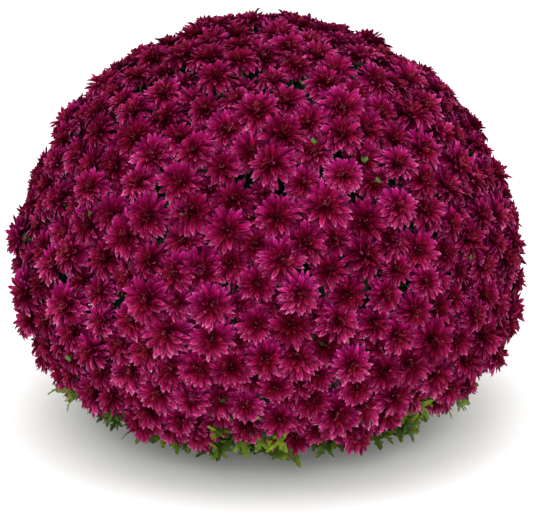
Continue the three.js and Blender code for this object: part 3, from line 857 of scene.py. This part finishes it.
def arc(radius, height, turn_from, turn_to, size, count=5):
    """Points of a rounded corner in a profile."""
    angles = np.radians(np.linspace(turn_from, turn_to, count))
    return [(radius + size * math.cos(a), height + size * math.sin(a)) for a in angles]


def wall_radius(height):
    """The outside of the pot's wall, below its collar."""
    slope = (POT_RIM_RADIUS - 0.0005 - POT_LIP_OUT - POT_BASE_RADIUS) / (POT_HEIGHT - POT_LIP_HEIGHT)
    return POT_BASE_RADIUS + slope * height


def pot_profile():
    """The pot's wall: up its outside, over the rim, and down its inside."""
    lip_base = POT_HEIGHT - POT_LIP_HEIGHT
    lip_inner = wall_radius(lip_base)
    profile = arc(POT_BASE_RADIUS - 0.0016, POT_FOOT_ROUNDING, -90, 0, POT_FOOT_ROUNDING)
    for k in range(1, POT_GROOVES + 1):
        z = lip_base * k / (POT_GROOVES + 1)
        profile += [(wall_radius(z + step) - inward, z + step) for inward, step in POT_GROOVE]
    profile += [(lip_inner, lip_base)]
    profile += [(lip_inner + POT_LIP_OUT * 0.8, lip_base + 0.0006)]
    profile += [(lip_inner + POT_LIP_OUT, lip_base + 0.0018)]
    rounding = POT_RIM_ROUNDING
    profile += arc(POT_RIM_RADIUS - rounding, POT_HEIGHT - rounding, 0, 180, rounding, 9)
    profile += [(POT_RIM_RADIUS - POT_WALL - 0.0008, POT_HEIGHT - 0.004)]
    profile += [(lip_inner - POT_WALL, lip_base - 0.002)]
    profile += [(wall_radius(0) - POT_WALL, POT_WALL)]
    return profile


def add_drain_hole(bm, middle):
    """The wall of a round hole through the pot's base, and the rims at its lower and upper end."""
    turns = 2 * math.pi * np.arange(DRAIN_SEGMENTS) / DRAIN_SEGMENTS
    spokes = DRAIN_RADIUS * np.stack([np.cos(turns), np.sin(turns), 0 * turns], 1)
    low, high = ([bm.verts.new(middle + spoke + z * UP) for spoke in spokes] for z in (0, POT_WALL))
    for j in range(DRAIN_SEGMENTS):
        after = (j + 1) % DRAIN_SEGMENTS
        bm.faces.new([low[j], high[j], high[after], low[after]])
    return low, high


def fill_inside(bm, rims):
    """A flat face inside the first rim, with holes inside the others."""
    edges = []
    for rim in rims:
        for a, b in zip(rim, rim[1:] + rim[:1]):
            edges.append(bm.edges.get((a, b)) or bm.edges.new((a, b)))
    bmesh.ops.triangle_fill(bm, edges=edges, use_beauty=True)


def build_pot(look):
    """A thin-walled nursery pot with a collar, faint grooves round its wall, and drain holes in its base."""
    bm = bmesh.new()
    rings, faces = lathe(pot_profile(), POT_SEGMENTS)
    verts = [bm.verts.new(point) for point in rings.reshape(-1, 3)]
    for face in faces:
        bm.faces.new([verts[i] for i in face])
    under = [verts[:POT_SEGMENTS]]
    within = [verts[-POT_SEGMENTS:]]
    for k in range(DRAIN_HOLES):
        low, high = add_drain_hole(bm, ring_point(DRAIN_CIRCLE, 2 * math.pi * (k + 0.5) / DRAIN_HOLES, 0))
        under.append(low)
        within.append(high)
    fill_inside(bm, under)
    fill_inside(bm, within)
    bmesh.ops.recalc_face_normals(bm, faces=bm.faces)
    bmesh.ops.triangulate(bm, faces=bm.faces)
    mesh = bpy.data.meshes.new("nursery_pot")
    bm.to_mesh(mesh)
    bm.free()
    mesh.materials.append(look)
    mesh.shade_smooth()
    mesh.set_sharp_from_angle(angle=math.radians(40))
    keep(in_scene("nursery_pot", mesh), "pot", "pot")


def build_mix(look):
    """Potting mix: a crumbly mound, with bits of bark and perlite on it."""
    heap = Heap()
    rng = np.random.default_rng(SEED + 60)
    bottom = POT_WALL + MIX_BASE_GAP
    inside = POT_WALL + MIX_GAP
    rim = wall_radius(MIX_TOP - MIX_SAG) - inside
    profile = [(0.0001, bottom), (wall_radius(bottom) - inside, bottom), (rim, MIX_TOP - 0.006)]
    profile += [
        (rim * share, MIX_TOP - MIX_SAG * share**2 - 0.0008) for share in np.linspace(0.985, 0.135, 34)
    ]
    rings, faces = lathe(profile, MIX_SEGMENTS)
    bumps = np.zeros(rings.shape[:2])
    bumps[3:] = rng.normal(0, MIX_ROUGHNESS, bumps[3:].shape)  # on the mound, above the first three rings
    bumps = bumps + 0.5 * np.roll(bumps, 1, axis=1) + 0.4 * np.roll(bumps, -1, axis=1)
    rings[..., 2] += np.clip(bumps, -0.002, 0.0012)
    heap.add(rings, faces, kind=PEAT)
    for _ in range(CRUMBS):
        angle = rng.uniform(0, 2 * math.pi)
        share = math.sqrt(rng.uniform(0.04, 0.93))
        size = rng.uniform(0.0012, 0.0032) * np.array([1, rng.uniform(0.5, 1), rng.uniform(0.3, 0.7)])
        place = ring_point(rim * share, angle, MIX_TOP - MIX_SAG * share**2)
        white = rng.random() < PERLITE_SHARE
        add_crumb(heap, place, size * (0.7 if white else 1), PERLITE if white else BARK, rng)
    keep(heap.build("crumbly_mix", [look]), "mix", "potting_mix")


def add_crumb(heap, place, size, kind, rng):
    """One bit of bark or perlite: an uneven octahedron."""
    corners = np.array([(1, 0, 0), (0, 1, 0), (-1, 0, 0), (0, -1, 0), (0, 0, 1), (0, 0, -1)], float)
    corners = corners * size * rng.uniform(0.7, 1.2, (6, 1))
    turn = rng.uniform(0, 2 * math.pi)
    spin = np.array([[math.cos(turn), -math.sin(turn), 0], [math.sin(turn), math.cos(turn), 0], [0, 0, 1]])
    faces = [(0, 1, 4), (1, 2, 4), (2, 3, 4), (3, 0, 4), (1, 0, 5), (2, 1, 5), (3, 2, 5), (0, 3, 5)]
    heap.add(place + corners @ spin.T, faces, kind=kind)


# Materials


class Nodes:
    """A material's node tree, with short calls for the nodes used here."""

    def __init__(self, name):
        self.material = bpy.data.materials.new(name)
        self.material.use_nodes = True
        self.tree = self.material.node_tree
        self.shader = self.tree.nodes["Principled BSDF"]

    def new(self, kind, **settings):
        """A new node with these settings."""
        node = self.tree.nodes.new(kind)
        for key, value in settings.items():
            setattr(node, key, value)
        return node

    def feed(self, socket, value):
        """A socket takes a number, a colour or another node's output."""
        if isinstance(value, (int, float)):
            socket.default_value = value
        elif isinstance(value, tuple):
            socket.default_value = (*value, 1)
        else:
            self.tree.links.new(value, socket)

    def field(self, name):
        """A named number that the mesh gives at each point."""
        return self.new("ShaderNodeAttribute", attribute_name=name).outputs["Fac"]

    def noise(self, scale, detail=2.0):
        """Soft noise in the object's own space."""
        node = self.new("ShaderNodeTexNoise")
        node.inputs["Scale"].default_value = scale
        node.inputs["Detail"].default_value = detail
        self.feed(node.inputs["Vector"], self.new("ShaderNodeTexCoord").outputs["Object"])
        return node.outputs["Fac"]

    def ramp(self, source, *stops):
        """A ramp of colours, each stop a place and a colour."""
        node = self.new("ShaderNodeValToRGB")
        elements = node.color_ramp.elements
        while len(elements) < len(stops):
            elements.new(0.5)
        for element, (place, colour) in zip(elements, stops):
            element.position = place
            element.color = (*colour, 1)
        self.feed(node.inputs["Fac"], source)
        return node.outputs["Color"]

    def greys(self, source, *stops):
        """A ramp of greys, each stop a place and a brightness."""
        return self.ramp(source, *((place, (grey,) * 3) for place, grey in stops))

    def math(self, operation, *values):
        """A calculation with numbers and outputs."""
        node = self.new("ShaderNodeMath", operation=operation)
        for socket, value in zip(node.inputs, values):
            self.feed(socket, value)
        return node.outputs["Value"]

    def mix(self, factor, first, second, blend="MIX"):
        """The first colour, and as much of the second as the factor says."""
        node = self.new("ShaderNodeMix", data_type="RGBA", blend_type=blend)
        for socket, value in zip((node.inputs[0], node.inputs[6], node.inputs[7]), (factor, first, second)):
            self.feed(socket, value)
        return node.outputs[2]

    def times(self, first, second):
        """The product of two colours."""
        return self.mix(1.0, first, second, "MULTIPLY")

    def bump(self, height, strength, distance):
        """Fine relief, in the shading alone."""
        node = self.new("ShaderNodeBump")
        node.inputs["Strength"].default_value = strength
        node.inputs["Distance"].default_value = distance
        self.feed(node.inputs["Height"], height)
        self.feed(self.shader.inputs["Normal"], node.outputs["Normal"])

    def set(self, **values):
        """Inputs of the shader, with underscores for the spaces in their names."""
        for name, value in values.items():
            self.feed(self.shader.inputs[name.replace("_", " ")], value)


WHITE = (1, 1, 1)
PALE_PINK = (0.56, 0.170, 0.360)
PALE_RED = (0.44, 0.130, 0.190)


def petal_material():
    """Wine red at the heart, magenta along the petals, pink at their edges and tips, with painted highlight
    and painted reflection set by which way each petal points.
    """
    nodes = Nodes("petals")
    names = ("along", "edge", "layer", "petal", "hang")
    along, edge, layer, petal, hang = (nodes.field(name) for name in names)
    outer = nodes.ramp(
        along,
        (0.0, (0.05, 0.0003, 0.005)),
        (0.50, (0.155, 0.0008, 0.020)),
        (0.84, (0.26, 0.003, 0.072)),
        (1.0, (0.36, 0.030, 0.140)),
    )
    inner = nodes.ramp(
        along,
        (0.0, (0.09, 0.0008, 0.007)),
        (0.75, (0.145, 0.0012, 0.016)),
        (1.0, (0.20, 0.006, 0.028)),
    )
    colour = nodes.mix(nodes.greys(layer, (0.34, 0), (0.60, 1)), outer, inner)
    # Purple on petals that point up, as a painted reflection of the light from above; pinker on those that
    # hang down, partly their paler reverse and partly painted light
    colour = nodes.times(colour, nodes.ramp(hang, (0.1, (1.02, 0.8, 1.2)), (0.9, (1.0, 1.2, 0.85))))
    shade = nodes.ramp(petal, (0, (0.40, 0.34, 0.38)), (0.6, WHITE), (1, (1.35, 1.7, 1.5)))
    colour = nodes.times(colour, shade)

    # Pale edges and tips, most on petals that hang down, on the outer layers and in the heart
    # On petals that hang down the pale tips are partly their paler reverse and partly painted highlight
    # where they catch the light
    sides = nodes.greys(edge, (0.65, 0), (1, 0.75))
    rim = nodes.math("MULTIPLY", sides, nodes.greys(along, (0.45, 0), (0.9, 0.8)))
    rim = nodes.math("MAXIMUM", rim, nodes.greys(along, (0.82, 0), (1, 0.8)))
    hanging = nodes.greys(hang, (0.15, 0.2), (0.8, 1))
    lit = nodes.math("MULTIPLY", hanging, nodes.greys(layer, (0.26, 1), (0.5, 0.2)))
    lit = nodes.math("MAXIMUM", lit, nodes.greys(layer, (0.68, 0), (0.8, 1)))
    lit = nodes.math("MULTIPLY", nodes.greys(petal, (0.25, 0.1), (0.85, 1)), lit)
    pale = nodes.mix(nodes.greys(layer, (0.4, 0), (0.7, 1)), PALE_PINK, PALE_RED)
    colour = nodes.mix(nodes.math("MULTIPLY", rim, lit), colour, pale)

    bloom = nodes.ramp(nodes.field("tone"), (0, (0.72, 0.55, 0.62)), (0.55, WHITE), (1, (1.2, 1.6, 1.35)))
    colour = nodes.times(colour, bloom)
    colour = nodes.times(colour, nodes.greys(nodes.noise(900), (0.3, 0.85), (0.7, 1.12)))
    nodes.set(Base_Color=colour, Roughness=0.5, Specular_IOR_Level=0.04, Specular_Tint=(1.0, 0.2, 0.6))
    nodes.bump(nodes.noise(1400, 1.0), 0.25, 0.0006)
    return nodes.material


def leaf_material():
    """Matt green, lighter along the veins, from dark to lime from leaf to leaf, with painted shade at each
    leaf's base and rib and painted light at its edges.
    """
    nodes = Nodes("leaves")
    along, aside = nodes.field("along"), nodes.field("aside")
    off = nodes.math("ABSOLUTE", aside)
    rib = nodes.greys(off, (0.0, 1), (0.09, 0))
    slanted = nodes.math("SUBTRACT", along, nodes.math("MULTIPLY", off, 0.32))
    wave = nodes.math("SINE", nodes.math("MULTIPLY", slanted, 44.0))
    veins = nodes.math("MAXIMUM", rib, nodes.math("MULTIPLY", nodes.greys(wave, (0.86, 0), (1.0, 1)), 0.7))
    green = nodes.ramp(
        nodes.field("tone"),
        (0, (0.010, 0.019, 0.008)),
        (0.35, (0.024, 0.052, 0.008)),
        (0.65, (0.064, 0.112, 0.008)),
        (1, (0.130, 0.185, 0.008)),
    )
    colour = nodes.times(green, nodes.greys(nodes.noise(160, 3.0), (0.3, 0.5), (0.7, 1.5)))
    # Painted shade towards the leaf's base
    colour = nodes.times(colour, nodes.greys(along, (0.1, 0.55), (0.6, 1.15)))
    colour = nodes.mix(nodes.math("MULTIPLY", veins, 0.35), colour, nodes.times(green, (2.2, 2.0, 3.0)))
    # Painted shade along the rib, where the halves fold, and painted light towards the edges
    colour = nodes.times(colour, nodes.greys(off, (0.0, 0.7), (0.5, 1.25)))
    nodes.set(Base_Color=colour, Roughness=0.5, Specular_IOR_Level=0.2)
    nodes.bump(nodes.math("ADD", veins, nodes.math("MULTIPLY", nodes.noise(420), 0.5)), 0.5, 0.0006)
    return nodes.material


def stem_material():
    """Green twigs that turn woody and brown towards the crown."""
    nodes = Nodes("stems")
    colour = nodes.ramp(
        nodes.field("tone"),
        (0, (0.070, 0.045, 0.022)),
        (0.4, (0.075, 0.095, 0.022)),
        (1, (0.080, 0.150, 0.020)),
    )
    colour = nodes.times(colour, nodes.greys(nodes.noise(240, 4.0), (0.3, 0.7), (0.7, 1.25)))
    nodes.set(Base_Color=colour, Roughness=0.6, Specular_IOR_Level=0.3)
    nodes.bump(nodes.noise(500, 3.0), 0.5, 0.0008)
    return nodes.material


def pot_material():
    """Black moulded plastic with a fine grain and dusty, lighter scuffs."""
    nodes = Nodes("pot_plastic")
    scuffs = nodes.greys(nodes.noise(26, 8.0), (0.52, 0), (0.75, 1))
    colour = nodes.mix(nodes.math("MULTIPLY", scuffs, 0.35), (0.016, 0.0165, 0.017), (0.060, 0.056, 0.050))
    roughness = nodes.math("ADD", 0.38, nodes.math("MULTIPLY", scuffs, 0.25))
    nodes.set(Base_Color=colour, Roughness=roughness, Specular_IOR_Level=0.45)
    nodes.bump(nodes.noise(1500, 2.0), 0.25, 0.0004)
    return nodes.material


def mix_material():
    """Dark peat, brown bark and white perlite."""
    nodes = Nodes("potting_mix_crumb")
    kind = nodes.ramp(
        nodes.field("kind"),
        (0.0, (0.022, 0.014, 0.009)),
        (0.5, (0.060, 0.034, 0.018)),
        (0.9, (0.50, 0.48, 0.44)),
    )
    colour = nodes.times(kind, nodes.greys(nodes.noise(500, 4.0), (0.3, 0.55), (0.7, 1.4)))
    nodes.set(Base_Color=colour, Roughness=0.95, Specular_IOR_Level=0.2)
    nodes.bump(nodes.noise(900, 4.0), 0.8, 0.002)
    return nodes.material


# Stage, lights and camera


def add_floor():
    """A plain white floor."""
    bpy.ops.mesh.primitive_plane_add(size=12, location=(0, 0, 0))
    floor = bpy.context.object
    floor.name = "floor"
    nodes = Nodes("floor_white")
    nodes.set(Base_Color=(0.885, 0.88, 0.87), Roughness=0.9, Specular_IOR_Level=0.0)
    floor.data.materials.append(nodes.material)


def area_light(name, place, size, power):
    """A soft light that points at the plant."""
    light = bpy.data.lights.new(name, "AREA")
    light.energy = power
    light.size = size
    holder = in_scene(name, light)
    holder.location = place
    holder.rotation_euler = (LIT_POINT - Vector(place)).to_track_quat("-Z", "Y").to_euler()


def add_lights():
    """An even white studio, with soft lamps above and in front."""
    world = bpy.data.worlds.new("studio")
    bpy.context.scene.world = world
    world.use_nodes = True
    background = world.node_tree.nodes["Background"]
    background.inputs["Color"].default_value = (1, 1, 1, 1)
    background.inputs["Strength"].default_value = SURROUNDINGS
    for lamp in LAMPS:
        area_light(*lamp)


def add_camera():
    """The photograph's view: its elevation, and its scale at the canopy's axis."""
    camera = bpy.data.cameras.new("camera")
    camera.sensor_width = SENSOR_WIDTH
    camera.lens = SENSOR_WIDTH * VIEW_DISTANCE * PIXELS_PER_METRE / PHOTO_WIDTH
    holder = in_scene("camera", camera)
    elevation = math.radians(VIEW_ELEVATION)
    holder.location = VIEW_TARGET + VIEW_DISTANCE * Vector((0, -math.cos(elevation), math.sin(elevation)))
    holder.rotation_euler = (VIEW_TARGET - holder.location).to_track_quat("-Z", "Y").to_euler()
    bpy.context.scene.camera = holder


petal_look = petal_material()
leaf_look = leaf_material()
stem_look = stem_material()
for spray_number in range(SPRAYS):
    build_spray(spray_number, petal_look, leaf_look, stem_look)
build_stems(leaf_look, stem_look)
build_pot(pot_material())
build_mix(mix_material())

add_floor()
add_lights()
add_camera()
bpy.context.scene.view_settings.view_transform = "Standard"
